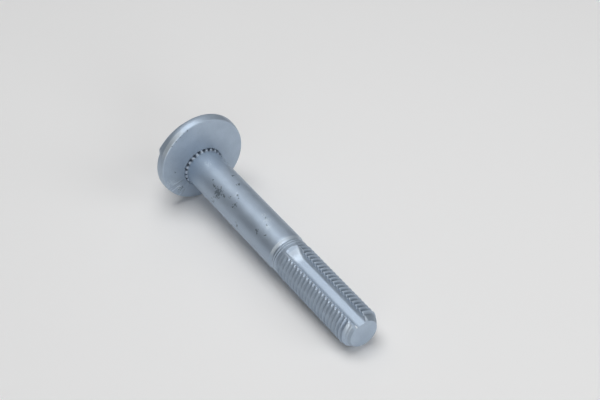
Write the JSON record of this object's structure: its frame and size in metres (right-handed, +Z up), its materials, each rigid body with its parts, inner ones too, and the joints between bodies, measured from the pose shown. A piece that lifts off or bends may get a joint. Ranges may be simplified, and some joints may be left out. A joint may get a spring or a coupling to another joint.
{
  "type": "eccentric adjusting bolt",
  "caption": "Hexagon-head bolt with an eccentric round disc pressed on under the head, a plain shank and a keyed threaded end.",
  "frame": {"origin": "on the surface that the bolt lies on, under the middle of the whole part", "axes": "+Z up, +X along the bolt towards its tip, which points down by about 3.5 degrees, +Y to the left of that"},
  "size_m": [0.0958, 0.0286, 0.0285],
  "materials": {
    "zinc_coated_steel": "satin blue-grey zinc coating with light scuffs on the shank",
    "zinc_coated_disc": "satin blue-grey zinc coating with fine nicks on the rim"
  },
  "bodies": {
    "root": {"hex_bolt": "zinc_coated_steel", "cam_disc": "zinc_coated_disc"}
  },
  "joints": []
}
